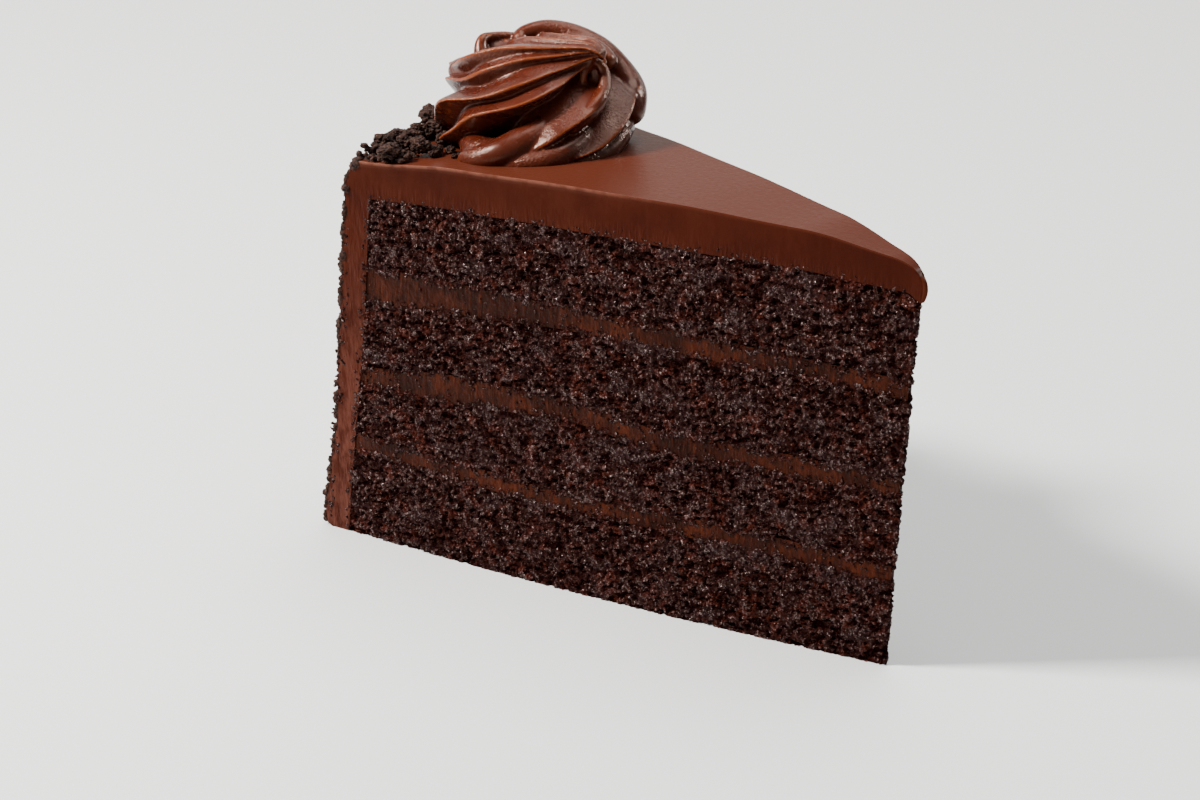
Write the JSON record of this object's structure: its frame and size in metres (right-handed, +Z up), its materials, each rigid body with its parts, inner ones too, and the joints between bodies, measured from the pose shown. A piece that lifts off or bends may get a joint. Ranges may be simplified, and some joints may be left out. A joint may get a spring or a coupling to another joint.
{
  "type": "slice of chocolate cake",
  "caption": "Tall wedge of layered chocolate cake with fudge fillings, chocolate frosting, a cookie-crumb border and a piped rosette on top",
  "frame": {"origin": "middle of the bounding box, on the flat underside of the slice", "axes": "+X towards the tip of the wedge, -Y towards the front cut face, +Z up"},
  "size_m": [0.15, 0.0651, 0.1203],
  "materials": {
    "sponge": "open, moist dark chocolate crumb",
    "fudge": "dense dark fudge, satin where cut",
    "frosting": "smooth satin chocolate frosting",
    "crumb": "dry black-brown cookie crumbs"
  },
  "bodies": {
    "root": {"sponge_1": "sponge", "sponge_2": "sponge", "sponge_3": "sponge", "sponge_4": "sponge", "filling_1": "fudge", "filling_2": "fudge", "filling_3": "fudge", "side_frosting": "frosting", "top_frosting": "frosting", "rosette": "frosting", "crumb_border": "crumb"}
  },
  "joints": []
}
